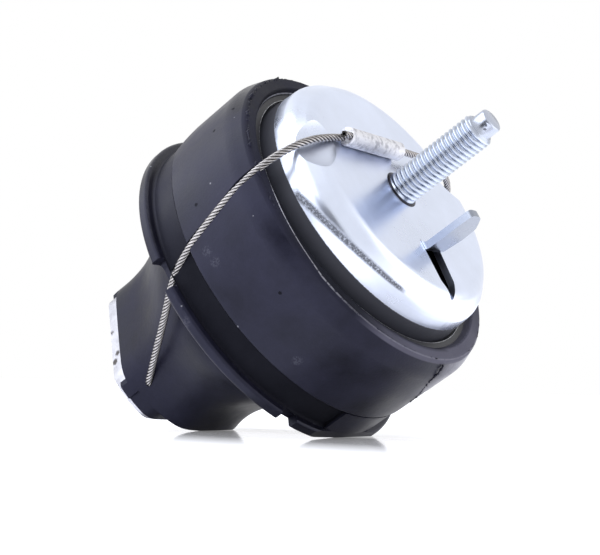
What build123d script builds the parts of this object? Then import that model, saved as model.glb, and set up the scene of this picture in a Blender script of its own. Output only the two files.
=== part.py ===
from build123d import *
import os
from math import cos, radians, sin

# Hydraulic engine mount, in millimetres. +Z runs along its axis towards the stud.
# The origin is the centre of the core's end face, and +X points to the locating tab.

os.makedirs("parts", exist_ok=True)

# Sizes of the steel can
can_sheet = 2.0
can_neck_bore_r = 49.5
can_neck_height = 8.0
can_foot_z = 54.0
can_flange_width = 8.0
can_foot_bend_r = 1.0
lip_r = 49.0
lip_bend_r = 2.4

# Sizes of what is stacked in the can, from its shoulder up
seat_gap = 0.1
spring_ring_height = 18.0
spring_ring_chamfer = 0.4
spring_ring_wall = 2.9
track_lower_height = 5.0
track_upper_height = 5.0
bead_height = 3.5

# Sizes of the pressed cap
cap_sheet = 2.5
cap_height = 21.5
cap_bevel = 5.5
cap_wall_draft = 1.2
cap_bend_r = 6.0
cap_lip_gap = 0.8
stud_hole_gap = 0.1

# Cable saddles pressed into the cap's shoulder
saddle_r = 22.0
saddle_x = -14.0
saddle_y = 39.6
saddle_depth = 3.5
saddle_tilt = 20.0
saddle_length = 60.0

# Locating tab bent up out of the slot
tab_x = 22.5
tab_bend_r = 2.0
tab_height = 20.0
tab_left_y = -4.9
tab_right_y = 6.1
tab_root_y = 4.9
tab_corner_r = 1.5
tab_crown_y = 0.5
tab_crown_r = 4.0
tab_shoulder_inset = 0.7
tab_shoulder_drop = 5.5
tab_waist_drop = 11.5
tab_waist_r = 8.0
tab_root_r = 6.0
slot_end_x = 44.1
slot_tip_y = -1.8
slot_tip_r = 1.2
slot_side_gap = 0.2
slot_taper_length = 7.5
slot_taper_inset = 1.7
slot_left_r = 3.0
slot_right_r = 4.0

# Stud
stud_r = 5.9
stud_length = 34.5
stud_chamfer = 0.9
stud_dog_r = 4.25
stud_dog_length = 5.0
stud_dog_edge_r = 0.6
stud_collar_r = 6.6
stud_collar_height = 0.4
stud_head_r = 11.0
stud_head_height = 4.0
stud_head_edge_r = 0.8
stud_mark_size = 3.3
stud_mark_depth = 0.5
stud_mark_angle = -55.0

# Rubber jacket moulded round the can
drum_rubber = 5.8
drum_bevel = 2.5
drum_bevel_height = 6.5
drum_shoulder_r = 9.0
drum_edge_r = 0.8
rim_height = 2.0
rim_lip_show = 2.0
rim_slope = 1.5
rim_edge_r = 1.6
neck_undercut = 1.5
neck_height = 10.0
neck_root_r = 1.0
flange_edge_r = 1.2
flange_skin = 1.75
foot_skin = 1.0
flange_flat_x = 58.6
rib_half_angle = 12.5
raised_edge = 6.5
raised_edge_half_angle = 46.0
raised_edge_slant = 8.0
nick_angle = -28.3
nick_width = 6.5
nick_floor_r = 57.0
notch_width = 10.7
notch_floor_r = 55.2
notch_corner_r = 2.0
notch_angle = 88.5
steel_notch_cover = 1.4

# Aluminium core
pad_r = 32.3
pad_side_flat = 27.0
pad_front_flat = 21.0
pad_flat_angle = 113.0
pad_height = 7.0
pad_corner_r = 6.0
core_r = 27.0
core_side_flat = 24.6
core_straight_z = 40.0
core_top_r = 20.0
core_top_z = 70.0
core_shoulder_r = 10.0
core_edge_r = 1.5
thread_bore_r = 5.1
thread_depth = 25.0
thread_countersink_r = 6.6
thread_countersink_depth = 1.5
cable_hole_x = 14.2
cable_hole_z = 11.5
cable_hole_gap = 0.35

# Rubber spring between the core and the can
pad_skin = 1.2
pad_corner_skin = 0.6
pad_skin_z = 1.6
bare_flank_z = 5.0
bare_flank_width = 46.0
foot_room_x = 14.2
flare_top_inset = 0.5
flare_top_drop = 2.0
dish_edge_drop = 2.0
dish_core_drop = 4.0
dish_bend_r = 4.0

# Sections of the spring's outside: height, round radius, side flats, front flat, corner flat
corner_flat_angle = 34.0
spring_softness = 24
spring_points = 48
spring_sections = [
    (pad_skin_z, 33.6, 28.2, 29.5, 32.5),
    (8.0, 33.8, 28.2, 29.8, 31.6),
    (13.0, 34.0, 28.5, 29.8, 30.6),
    (18.0, 34.6, 29.4, 29.6, 30.8),
    (24.0, 35.8, 31.6, 30.6, 32.4),
    (33.0, 39.2, 37.4, 34.2, 37.5),
    (43.0, 43.6, 45.5, 40.6, 46.0),
    (52.5, 49.2, 58.0, 53.0, 58.0),
]

# Rebound stop on the core's top
rebound_plate_r = 18.0
rebound_plate_height = 3.0
rebound_rivet_r = 3.0
rebound_rivet_depth = 14.0
rebound_rivet_head_r = 6.5
rebound_rivet_head_height = 2.4
rebound_rivet_head_edge_r = 1.6
rebound_plate_edge_r = 1.0
buffer_inset = 1.5
buffer_width = 6.0
buffer_height = 1.6

# Inertia track, decoupler and their rivets
channel_inner_r = 29.0
channel_sweep = 300.0
channel_lower_depth = 3.0
channel_upper_depth = 3.0
port_sweep = 14.0
pocket_r = 21.5
decoupler_gap = 0.5
decoupler_slack = 0.6
decoupler_edge_r = 0.8
grid_hole_r = 4.0
grid_ring_r = 12.5
grid_ring_count = 6
rivet_wall = 1.0
rivet_head_gap = 0.4
rivet_count = 3
rivet_start_angle = 30.0
rivet_r = 2.0
rivet_head_r = 2.8
rivet_head_height = 1.3
seal_width = 1.7
seal_height = 1.4
seal_edge = 0.5

# Diaphragm
bellows_wall = 2.0
bellows_top_z = 103.5
bellows_centre_z = 95.0
bellows_foot = 1.8
bellows_crest_outer_r = 38.5
bellows_crest_inner_r = 25.0
bellows_centre_r = 18.0
bellows_bend_r = 4.0
bellows_foot_bend_r = 2.0
bead_width = 5.4
bead_ring_width = 2.4
bead_ring_height = 1.2
bead_ring_edge = 1.3

# Safety cable and its ferrule
cable_r = 1.25
cable_press_gap = 0.05
cable_side = [
    (-12.6, 46.3, 112.7),
    (-8.1, 58.4, 96.3),
    (-1.1, 58.9, 66.6),
    (2.7, 56.9, 55.7),
]
cable_bends = [7.5, 17, 36, 17]
cable_hole_bend_r = 3
cable_hole_y = 30.0
cable_lead_in_r = 20
cable_lead_out_r = 30
cable_lead_out_y = 26.0
cable_lead_out_drop = 0.8
cable_settle_y = 9.0
cable_settle_r = 40
cable_end_inset = 0.6
cable_overrun = 1.0
cable_tail = 3.5
ferrule_r = 3.15
ferrule_start_y = -26.0
ferrule_end_y = 5.0
ferrule_chamfer = 0.5
ferrule_x = -14.4
strand_offset_x = 0.65
strand_offset_z = 1.125

# Heights and radii that follow from the sizes above
can_bore_r = can_neck_bore_r + can_sheet
can_outer_r = can_bore_r + can_sheet
can_middle_r = can_bore_r + can_sheet / 2
can_flange_r = can_bore_r + can_flange_width
seat_r = can_bore_r - seat_gap
shoulder_z = can_foot_z + can_neck_height
ring_top_z = shoulder_z + spring_ring_height
track_joint_z = ring_top_z + track_lower_height
track_top_z = track_joint_z + track_upper_height
bead_top_z = track_top_z + bead_height
cap_flange_z = bead_top_z + cap_sheet
lip_top_z = cap_flange_z + can_sheet
plateau_z = bead_top_z + cap_height
ceiling_z = plateau_z - cap_sheet
cap_wall_r = lip_r - cap_lip_gap
rim_top_z = lip_top_z + rim_height
rim_inner_r = lip_r + rim_lip_show
drum_r = can_outer_r + drum_rubber
neck_r = drum_r - neck_undercut
flange_r = can_flange_r + flange_skin
flange_bottom_z = can_foot_z - foot_skin
flange_top_z = can_foot_z + can_sheet + foot_skin
drum_bottom_z = flange_top_z + neck_height
ring_bore_r = seat_r - spring_ring_wall
flare_top_r = can_neck_bore_r - flare_top_inset
bead_inner_r = seat_r - bead_width
bellows_outer_r = bead_inner_r - bellows_foot
rivet_ring_r = bellows_outer_r - bellows_wall / 2 - rivet_head_gap - rivet_head_r
channel_outer_r = rivet_ring_r - rivet_r - rivet_wall
beyond = 2 * flange_r


def outline(*corners):
    """Closed outline through (x, y, corner radius) corners; a radius of 0 is a sharp corner."""
    points = [corner[:2] for corner in corners]
    radii = [corner[2] for corner in corners]
    return FilletPolyline(*points, radius=radii, close=True)


def ring_sector(inner_r, outer_r, start_angle, sweep_angle):
    """Outline of a piece of a flat ring."""
    outer = CenterArc((0, 0), outer_r, start_angle, sweep_angle)
    inner = CenterArc((0, 0), inner_r, start_angle, sweep_angle)
    Line(outer @ 0, inner @ 0)
    Line(outer @ 1, inner @ 1)


def radial_plane(angle, z=0.0):
    """Plane square to the radius at an angle, with its x along the rim and its y up the axis."""
    outward = (cos(radians(angle)), sin(radians(angle)), 0)
    along = (-sin(radians(angle)), cos(radians(angle)), 0)
    return Plane(origin=(0, 0, z), x_dir=along, z_dir=outward)


def section_plane(angle):
    """Plane through the axis at an angle, with its x outward and its y up the axis."""
    outward = (cos(radians(angle)), sin(radians(angle)), 0)
    across = (sin(radians(angle)), -cos(radians(angle)), 0)
    return Plane(origin=(0, 0, 0), x_dir=outward, z_dir=across)


def cut_flats(side_flat, front_flat):
    """Cut the pad's three flats from a round sketch: one in front and two at the sides."""
    for angle, flat in ((0, front_flat), (-pad_flat_angle, side_flat), (pad_flat_angle, side_flat)):
        with Locations(Rotation(0, 0, angle)):
            with Locations((flat, 0)):
                Rectangle(beyond, beyond, align=(Align.MIN, Align.CENTER), mode=Mode.SUBTRACT)


# Outer can: foot flange, neck, shoulder, wall and the lip crimped over the cap
with BuildPart() as outer_can:
    with BuildSketch(Plane.XZ):
        with BuildLine():
            outline(
                (can_flange_r, can_foot_z, 0),
                (can_flange_r, can_foot_z + can_sheet, 0),
                (can_bore_r, can_foot_z + can_sheet, can_foot_bend_r),
                (can_bore_r, shoulder_z - can_sheet, 0),
                (can_outer_r, shoulder_z - can_sheet, 0),
                (can_outer_r, lip_top_z, lip_bend_r),
                (lip_r, lip_top_z, 0),
                (lip_r, cap_flange_z, 0),
                (can_bore_r, cap_flange_z, 0),
                (can_bore_r, shoulder_z, 0),
                (can_neck_bore_r, shoulder_z, 0),
                (can_neck_bore_r, can_foot_z, can_sheet + can_foot_bend_r),
            )
        make_face()
    revolve(axis=Axis.Z)
    # The foot flange is flat towards the tab, with a notch each side for the cable and a nick
    with BuildSketch(Plane.XY.offset(can_foot_z)):
        with Locations((flange_flat_x - steel_notch_cover, 0)):
            Rectangle(beyond, beyond, align=(Align.MIN, Align.CENTER))
        with Locations(Rotation(0, 0, nick_angle)):
            with Locations((nick_floor_r - steel_notch_cover, 0)):
                Rectangle(beyond, nick_width + 2 * steel_notch_cover, align=(Align.MIN, Align.CENTER))
        for side in (-1, 1):
            with Locations(Rotation(0, 0, side * notch_angle)):
                with Locations((notch_floor_r - steel_notch_cover, 0)):
                    Rectangle(beyond, notch_width + 2 * steel_notch_cover, align=(Align.MIN, Align.CENTER))
    extrude(amount=can_sheet, mode=Mode.SUBTRACT)
outer_can.part.label = "outer_can"

# Stud: headed from inside, plain shank for the thread, collar on the cap and a dog point
stud_end_z = plateau_z + stud_length
with BuildPart() as stud:
    with BuildSketch(Plane.XZ):
        with BuildLine():
            outline(
                (0, ceiling_z - stud_head_height, 0),
                (stud_head_r, ceiling_z - stud_head_height, stud_head_edge_r),
                (stud_head_r, ceiling_z, 0),
                (stud_collar_r, ceiling_z, 0),
                (stud_collar_r, plateau_z + stud_collar_height, 0),
                (stud_r, plateau_z + stud_collar_height, 0),
                (stud_r, stud_end_z - stud_chamfer, 0),
                (stud_r - stud_chamfer, stud_end_z, 0),
                (stud_dog_r, stud_end_z, 0),
                (stud_dog_r, stud_end_z + stud_dog_length, stud_dog_edge_r),
                (0, stud_end_z + stud_dog_length, 0),
            )
        make_face()
    revolve(axis=Axis.Z)
    # Small square flat on the side of the dog point
    mark_plane = radial_plane(stud_mark_angle, stud_end_z + stud_dog_length / 2)
    with BuildSketch(mark_plane.offset(stud_dog_r - stud_mark_depth)):
        Rectangle(stud_mark_size, stud_mark_size)
    extrude(amount=stud_mark_depth * 2, mode=Mode.SUBTRACT)
stud.part.label = "stud"

# Cap blank: the outer form of the pressing, filled, and its sheet before the saddles
bevel_r = cap_wall_r - cap_wall_draft
cap_corners = [
    (0, plateau_z),
    (bevel_r - cap_bevel, plateau_z),
    (bevel_r, plateau_z - cap_bevel),
    (cap_wall_r, cap_flange_z),
    (seat_r, cap_flange_z),
]
cap_radii = [cap_bend_r, cap_bend_r, cap_lip_gap]

with BuildPart() as cap_blank:
    with BuildSketch(Plane.XZ):
        with BuildLine():
            FilletPolyline(*cap_corners, radius=cap_radii)
            Polyline(cap_corners[-1], (seat_r, bead_top_z), (0, bead_top_z), cap_corners[0])
        make_face()
    revolve(axis=Axis.Z)

with BuildPart() as cap_pressing:
    with BuildSketch(Plane.XZ):
        with BuildLine():
            cap_face = FilletPolyline(*cap_corners, radius=cap_radii)
            offset(cap_face, amount=cap_sheet, side=Side.RIGHT)
        make_face()
    revolve(axis=Axis.Z)

saddle_centre_y = saddle_y + saddle_r * sin(radians(saddle_tilt))
saddle_centre_z = plateau_z - saddle_depth + saddle_r * cos(radians(saddle_tilt))


def cut_saddles(radius):
    """Cut the two sloping cable saddles with cylinders of one radius."""
    for side in (-1, 1):
        place = Location((saddle_x, side * saddle_centre_y, saddle_centre_z), (-90 - side * saddle_tilt, 0, 0))
        with Locations(place):
            Cylinder(radius, saddle_length, mode=Mode.SUBTRACT)


with BuildPart() as cap_hollow:
    add(cap_blank.part)
    add(cap_pressing.part, mode=Mode.SUBTRACT)
    cut_saddles(saddle_r + cap_sheet)

# Tab: a strip bent up through a quarter turn, trimmed to its rounded outline
tab_bend_x = tab_x - tab_bend_r
tab_top_z = plateau_z + tab_height
tab_straight_z = plateau_z + tab_bend_r
with BuildPart() as tab_strip:
    with BuildSketch(Plane.XZ):
        with BuildLine():
            inner_bend = CenterArc((tab_bend_x, tab_straight_z), tab_bend_r, -90, 90)
            outer_bend = CenterArc((tab_bend_x, tab_straight_z), tab_bend_r + cap_sheet, -90, 90)
            Line(inner_bend @ 0, outer_bend @ 0)
            Polyline(inner_bend @ 1, (tab_x, tab_top_z), (tab_x + cap_sheet, tab_top_z), outer_bend @ 1)
        make_face()
    extrude(amount=tab_height, both=True)
    with BuildSketch(Plane.YZ.offset(tab_bend_x)):
        with BuildLine():
            outline(
                (tab_left_y, ceiling_z, 0),
                (tab_left_y, tab_top_z, tab_corner_r),
                (tab_crown_y, tab_top_z, tab_crown_r),
                (tab_right_y - tab_shoulder_inset, tab_top_z - tab_shoulder_drop, tab_crown_r),
                (tab_right_y, tab_top_z - tab_waist_drop, tab_waist_r),
                (tab_root_y, tab_straight_z, tab_root_r),
                (tab_root_y, ceiling_z, 0),
            )
        make_face()
    extrude(amount=tab_bend_r + cap_sheet, mode=Mode.INTERSECT)

# Top cap: the pressing with its saddles, stud hole, slot and tab
with BuildPart() as top_cap:
    add(cap_blank.part)
    cut_saddles(saddle_r)
    add(cap_hollow.part, mode=Mode.SUBTRACT)
    with BuildSketch(Plane.XY.offset(ceiling_z)):
        Circle(stud_collar_r + stud_hole_gap)
        with BuildLine():
            outline(
                (tab_bend_x, tab_left_y - slot_side_gap, 0),
                (slot_end_x - slot_taper_length, tab_left_y - slot_side_gap, slot_left_r),
                (slot_end_x, slot_tip_y, slot_tip_r),
                (slot_end_x - slot_taper_length, tab_root_y - slot_taper_inset, slot_right_r),
                (tab_bend_x, tab_root_y + slot_side_gap, 0),
            )
        make_face()
    extrude(amount=cap_sheet, mode=Mode.SUBTRACT)
    add(tab_strip.part)
top_cap.part.label = "top_cap"

# Route of the safety cable: one loop through the core, its ends side by side in the ferrule
ferrule_z = plateau_z + ferrule_r
low_strand = (ferrule_x - strand_offset_x, ferrule_z - strand_offset_z)
high_strand = (ferrule_x + strand_offset_x, ferrule_z + strand_offset_z)
cable_corners = cable_side + [(cable_hole_x, cable_hole_y, cable_hole_z)]
cable_route = [
    (low_strand[0], ferrule_end_y - cable_end_inset, low_strand[1]),
    (low_strand[0], ferrule_start_y - cable_overrun, low_strand[1]),
]
cable_route += [(x, -y, z) for x, y, z in cable_corners]
cable_route += [(x, y, z) for x, y, z in reversed(cable_corners)]
cable_route += [
    (high_strand[0], cable_lead_out_y, high_strand[1] - cable_lead_out_drop),
    (high_strand[0], cable_settle_y, high_strand[1]),
    (high_strand[0], ferrule_start_y - cable_tail, high_strand[1]),
]
cable_half_radii = cable_bends + [cable_hole_bend_r]
cable_radii = [cable_lead_in_r] + cable_half_radii + cable_half_radii[::-1] + [cable_lead_out_r, cable_settle_r]

with BuildPart() as safety_cable:
    with BuildLine() as cable_line:
        FilletPolyline(*cable_route, radius=cable_radii)
    with BuildSketch(Plane(cable_line.line @ 0, z_dir=cable_line.line % 0)):
        Circle(cable_r)
    sweep()
safety_cable.part.label = "safety_cable"
print("cable bend radii", cable_radii)
print("cable length", sum(edge.length for edge in cable_line.edges()))

# Room that the taut cable takes in the rubber it is pressed into
with BuildPart() as cable_room:
    with BuildLine() as room_line:
        FilletPolyline(*cable_route[1:-2], radius=cable_radii[1:-2])
    with BuildSketch(Plane(room_line.line @ 0, z_dir=room_line.line % 0)):
        Circle(cable_r + cable_press_gap)
    sweep()

# Ferrule crimped on the cable's two ends
with BuildPart() as cable_ferrule:
    with BuildSketch(Plane.XZ.offset(-ferrule_end_y)):
        with Locations((ferrule_x, ferrule_z)):
            Circle(ferrule_r)
    extrude(amount=ferrule_end_y - ferrule_start_y)
    chamfer(cable_ferrule.edges(), ferrule_chamfer)
    with BuildSketch(Plane.XZ.offset(-ferrule_end_y)):
        with Locations(low_strand, high_strand):
            Circle(cable_r + cable_press_gap)
    extrude(amount=ferrule_end_y - ferrule_start_y, mode=Mode.SUBTRACT)
cable_ferrule.part.label = "cable_ferrule"

# Rubber jacket: rim over the lip, drum, neck and the flange that wraps the can's foot
drum_shoulder_z = rim_top_z - drum_bevel_height
raised_half_width = drum_r * sin(radians(raised_edge_half_angle))
with BuildPart() as raised_edge_room:
    with BuildSketch(Plane.YZ.offset(-beyond)):
        with BuildLine():
            Polyline(
                (-raised_half_width, drum_bottom_z),
                (raised_half_width, drum_bottom_z),
                (raised_half_width - raised_edge_slant, drum_bottom_z + raised_edge),
                (raised_edge_slant - raised_half_width, drum_bottom_z + raised_edge),
                close=True,
            )
        make_face()
    extrude(amount=beyond)
    with BuildSketch(Plane.XY.offset(drum_bottom_z)):
        Circle(neck_r)
    extrude(amount=raised_edge, mode=Mode.SUBTRACT)

with BuildPart() as rubber_jacket:
    with BuildSketch(Plane.XZ):
        with BuildLine():
            outline(
                (rim_inner_r, flange_bottom_z, 0),
                (flange_r, flange_bottom_z, flange_edge_r),
                (flange_r, flange_top_z, flange_edge_r),
                (neck_r, flange_top_z, neck_root_r),
                (neck_r, drum_bottom_z, 0),
                (drum_r, drum_bottom_z, drum_edge_r),
                (drum_r, drum_shoulder_z, drum_shoulder_r),
                (drum_r - drum_bevel, rim_top_z, rim_edge_r),
                (rim_inner_r + rim_slope, rim_top_z, rim_edge_r / 2),
                (rim_inner_r, lip_top_z, 0),
                (rim_inner_r, lip_top_z - can_sheet / 2, 0),
                (can_middle_r, lip_top_z - can_sheet / 2, 0),
                (can_middle_r, shoulder_z - can_sheet / 2, 0),
                (rim_inner_r, shoulder_z - can_sheet / 2, 0),
            )
        make_face()
    revolve(axis=Axis.Z)
    # Rib that fills the neck on the tab's side
    with BuildSketch(Plane.XY.offset(flange_top_z)):
        with BuildLine():
            ring_sector(neck_r - 1, drum_r, -rib_half_angle, 2 * rib_half_angle)
        make_face()
    extrude(amount=neck_height)
    # The drum's lower edge is higher on the side away from the tab
    add(raised_edge_room.part, mode=Mode.SUBTRACT)
    # Flange outline: flat towards the tab, cable notches and nick
    with BuildSketch(Plane.XY.offset(flange_bottom_z)):
        with Locations((flange_flat_x, 0)):
            Rectangle(beyond, beyond, align=(Align.MIN, Align.CENTER))
        with Locations(Rotation(0, 0, nick_angle)):
            with Locations((nick_floor_r, 0)):
                Rectangle(beyond, nick_width, align=(Align.MIN, Align.CENTER))
        for side in (-1, 1):
            with Locations(Rotation(0, 0, side * notch_angle)):
                with Locations((notch_floor_r + beyond / 2, 0)):
                    RectangleRounded(beyond, notch_width, notch_corner_r)
    extrude(amount=flange_top_z - flange_bottom_z, mode=Mode.SUBTRACT)
    add(outer_can.part, mode=Mode.SUBTRACT)
    add(cable_room.part, mode=Mode.SUBTRACT)
rubber_jacket.part.label = "rubber_jacket"

# Core blank: end pad with three flats and the body above it
with BuildPart() as core_blank:
    with BuildSketch(Plane.XZ):
        with BuildLine():
            outline(
                (0, 0, 0),
                (core_r, 0, 0),
                (core_r, core_straight_z, core_shoulder_r),
                (core_top_r, core_top_z, core_edge_r),
                (0, core_top_z, 0),
            )
        make_face()
    revolve(axis=Axis.Z)
    with BuildSketch(Plane.XY):
        Circle(core_r)
        cut_flats(core_side_flat, pad_front_flat)
        fillet(vertices(), pad_corner_r / 2)
    extrude(amount=core_top_z, mode=Mode.INTERSECT)
    with BuildSketch(Plane.XY):
        Circle(pad_r)
        cut_flats(pad_side_flat, pad_front_flat)
        fillet(vertices(), pad_corner_r)
    extrude(amount=pad_height)

# Aluminium core: the blank with its holes
with BuildPart() as core:
    add(core_blank.part)
    # Threaded hole from below, drawn at its minor diameter
    with Locations(Location((0, 0, 0), (180, 0, 0))):
        CounterSinkHole(thread_bore_r, thread_countersink_r, depth=thread_depth, counter_sink_angle=90)
    # Cross hole for the cable, and the rivet's hole in the top
    with BuildSketch(Plane.XZ):
        with Locations((cable_hole_x, cable_hole_z)):
            Circle(cable_r + cable_hole_gap)
    extrude(amount=core_r, both=True, mode=Mode.SUBTRACT)
    with Locations((0, 0, core_top_z)):
        Hole(rebound_rivet_r, depth=rebound_rivet_depth)
core.part.label = "core"

# Spring ring, bonded into the spring and seated on the can's shoulder
with BuildPart() as spring_ring:
    with BuildSketch(Plane.XY.offset(shoulder_z)):
        Circle(seat_r)
        Circle(ring_bore_r, mode=Mode.SUBTRACT)
    extrude(amount=spring_ring_height)
    chamfer(spring_ring.edges().group_by(Axis.Z)[0], spring_ring_chamfer)
spring_ring.part.label = "spring_ring"

# Outline of the rubber skin round the pad
with BuildSketch() as pad_skin_outline:
    Circle(pad_r + pad_corner_skin)
    cut_flats(pad_side_flat + pad_skin, pad_front_flat + pad_skin)
    fillet(vertices(), pad_corner_r + pad_skin)


def soft_radius(angle, round_r, flats):
    """Radius at an angle of a round outline with flats, its corners softened by a power mean."""
    total = round_r**-spring_softness
    for flat_angle, flat in flats:
        toward = max(cos(radians(angle - flat_angle)), 0)
        total += (toward / flat) ** spring_softness
    return total ** (-1 / spring_softness)


def spring_outline(round_r, side_flat, front_flat, corner_flat):
    """Points round the spring's outside at one height."""
    sides = ((-pad_flat_angle, side_flat), (pad_flat_angle, side_flat))
    flats = ((0, front_flat), (corner_flat_angle, corner_flat), *sides)
    angles = [360 * step / spring_points for step in range(spring_points)]
    radii = [soft_radius(angle, round_r, flats) for angle in angles]
    return [(r * cos(radians(angle)), r * sin(radians(angle))) for r, angle in zip(radii, angles)]


# Rubber spring: a soft foot and flare over the pad, and the dish inside
with BuildPart() as spring_body:
    for section_z, *section_sizes in spring_sections:
        with BuildSketch(Plane.XY.offset(section_z)):
            with BuildLine():
                Spline(*spring_outline(*section_sizes), periodic=True)
            make_face()
    loft()
    with BuildSketch(Plane.XZ):
        with BuildLine():
            outline(
                (0, flange_bottom_z - flare_top_drop, 0),
                (flare_top_r, flange_bottom_z - flare_top_drop, 0),
                (rim_inner_r, flange_bottom_z, 0),
                (rim_inner_r, can_foot_z + can_sheet + can_foot_bend_r, 0),
                (can_neck_bore_r, can_foot_z + can_sheet + can_foot_bend_r, 0),
                (can_neck_bore_r, shoulder_z, 0),
                (ring_bore_r, shoulder_z, 0),
                (ring_bore_r, ring_top_z - dish_edge_drop, 0),
                (core_top_r, core_top_z - dish_core_drop, dish_bend_r),
                (0, core_top_z - dish_core_drop, 0),
            )
        make_face()
    revolve(axis=Axis.Z)

with BuildPart() as main_spring:
    add(spring_body.part)
    # Recess under the foot, round the pad's skin on the tab's side
    with BuildSketch(Plane.XY.offset(pad_skin_z)):
        with Locations((foot_room_x, 0)):
            Rectangle(beyond, beyond, align=(Align.MIN, Align.CENTER))
        add(pad_skin_outline.sketch, mode=Mode.SUBTRACT)
    extrude(amount=pad_height - pad_skin_z, mode=Mode.SUBTRACT)
    # One flank of the pad is bare where the skin has worn away
    with BuildSketch(Plane.XY.offset(pad_skin_z)):
        with Locations(Rotation(0, 0, -pad_flat_angle)):
            with Locations((pad_side_flat - pad_skin, 0)):
                Rectangle(beyond, bare_flank_width, align=(Align.MIN, Align.CENTER))
    extrude(amount=bare_flank_z - pad_skin_z, mode=Mode.SUBTRACT)
    add(core_blank.part, mode=Mode.SUBTRACT)
    add(outer_can.part, mode=Mode.SUBTRACT)
    add(cable_room.part, mode=Mode.SUBTRACT)
main_spring.part.label = "main_spring"

# Rebound stop: plate, its rubber buffer and the rivet that holds it to the core
rebound_top_z = core_top_z + rebound_plate_height
with BuildPart() as rebound_plate:
    with BuildSketch(Plane.XY.offset(core_top_z)):
        Circle(rebound_plate_r)
        Circle(rebound_rivet_r, mode=Mode.SUBTRACT)
    extrude(amount=rebound_plate_height)
    fillet(rebound_plate.edges().group_by(Axis.Z)[-1].sort_by(SortBy.LENGTH)[-1], rebound_plate_edge_r)
rebound_plate.part.label = "rebound_plate"

with BuildPart() as rebound_buffer:
    with BuildSketch(Plane.XY.offset(rebound_top_z)):
        Circle(rebound_plate_r - buffer_inset)
        Circle(rebound_plate_r - buffer_inset - buffer_width, mode=Mode.SUBTRACT)
    extrude(amount=buffer_height)
rebound_buffer.part.label = "rebound_buffer"

with BuildPart() as rebound_rivet:
    with BuildSketch(Plane.XZ):
        with BuildLine():
            outline(
                (0, core_top_z - rebound_rivet_depth, 0),
                (rebound_rivet_r, core_top_z - rebound_rivet_depth, 0),
                (rebound_rivet_r, rebound_top_z, 0),
                (rebound_rivet_head_r, rebound_top_z, 0),
                (rebound_rivet_head_r, rebound_top_z + rebound_rivet_head_height, rebound_rivet_head_edge_r),
                (0, rebound_top_z + rebound_rivet_head_height, 0),
            )
        make_face()
    revolve(axis=Axis.Z)
rebound_rivet.part.label = "rebound_rivet"


# Outlines that the two halves of the track share
with BuildSketch() as channel_outline:
    with BuildLine():
        ring_sector(channel_inner_r, channel_outer_r, 0, channel_sweep)
    make_face()
    Circle(pocket_r)

with BuildSketch() as lower_port_outline:
    with BuildLine():
        ring_sector(channel_inner_r, channel_outer_r, 0, port_sweep)
    make_face()

with BuildSketch() as upper_port_outline:
    with BuildLine():
        ring_sector(channel_inner_r, channel_outer_r, channel_sweep - port_sweep, port_sweep)
    make_face()

with BuildSketch() as through_holes_outline:
    Circle(grid_hole_r)
    with PolarLocations(grid_ring_r, grid_ring_count):
        Circle(grid_hole_r)
    with PolarLocations(rivet_ring_r, rivet_count, start_angle=rivet_start_angle):
        Circle(rivet_r)

# Lower half of the inertia track, with the seal's groove in its underside
with BuildPart() as track_lower_plate:
    with BuildSketch(Plane.XY.offset(ring_top_z)):
        Circle(seat_r)
    extrude(amount=track_lower_height)
    with BuildSketch(Plane.XY.offset(ring_top_z)):
        add(through_holes_outline.sketch)
        add(lower_port_outline.sketch)
    extrude(amount=track_lower_height, mode=Mode.SUBTRACT)
    with BuildSketch(Plane.XY.offset(track_joint_z - channel_lower_depth)):
        add(channel_outline.sketch)
    extrude(amount=channel_lower_depth, mode=Mode.SUBTRACT)
    with BuildSketch(Plane.XY.offset(ring_top_z)):
        Circle(seat_r - seal_edge)
        Circle(seat_r - seal_edge - seal_width, mode=Mode.SUBTRACT)
    extrude(amount=seal_height, mode=Mode.SUBTRACT)
track_lower_plate.part.label = "track_lower_plate"

# Upper half of the inertia track
with BuildPart() as track_upper_plate:
    with BuildSketch(Plane.XY.offset(track_joint_z)):
        Circle(seat_r)
    extrude(amount=track_upper_height)
    with BuildSketch(Plane.XY.offset(track_joint_z)):
        add(through_holes_outline.sketch)
        add(upper_port_outline.sketch)
    extrude(amount=track_upper_height, mode=Mode.SUBTRACT)
    with BuildSketch(Plane.XY.offset(track_joint_z)):
        add(channel_outline.sketch)
    extrude(amount=channel_upper_depth, mode=Mode.SUBTRACT)
track_upper_plate.part.label = "track_upper_plate"

# Rivets that join the two halves
with BuildPart() as track_rivets:
    for foot_z, radius, height in (
        (ring_top_z - rivet_head_height, rivet_head_r, rivet_head_height),
        (ring_top_z, rivet_r, track_top_z - ring_top_z),
        (track_top_z, rivet_head_r, rivet_head_height),
    ):
        with BuildSketch(Plane.XY.offset(foot_z)):
            with PolarLocations(rivet_ring_r, rivet_count, start_angle=rivet_start_angle):
                Circle(radius)
        extrude(amount=height)
track_rivets.part.label = "track_rivets"

# Seal between the spring ring and the track
with BuildPart() as track_seal:
    with BuildSketch(Plane.XY.offset(ring_top_z)):
        Circle(seat_r - seal_edge)
        Circle(seat_r - seal_edge - seal_width, mode=Mode.SUBTRACT)
    extrude(amount=seal_height)
track_seal.part.label = "track_seal"

# Decoupler, a loose rubber disc that lies in the pocket between the two grids
decoupler_z = track_joint_z - channel_lower_depth
with BuildPart() as decoupler_disc:
    with BuildSketch(Plane.XY.offset(decoupler_z)):
        Circle(pocket_r - decoupler_gap)
    extrude(amount=channel_lower_depth + channel_upper_depth - decoupler_slack)
    fillet(decoupler_disc.edges(), decoupler_edge_r)
decoupler_disc.part.label = "decoupler_disc"

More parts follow.
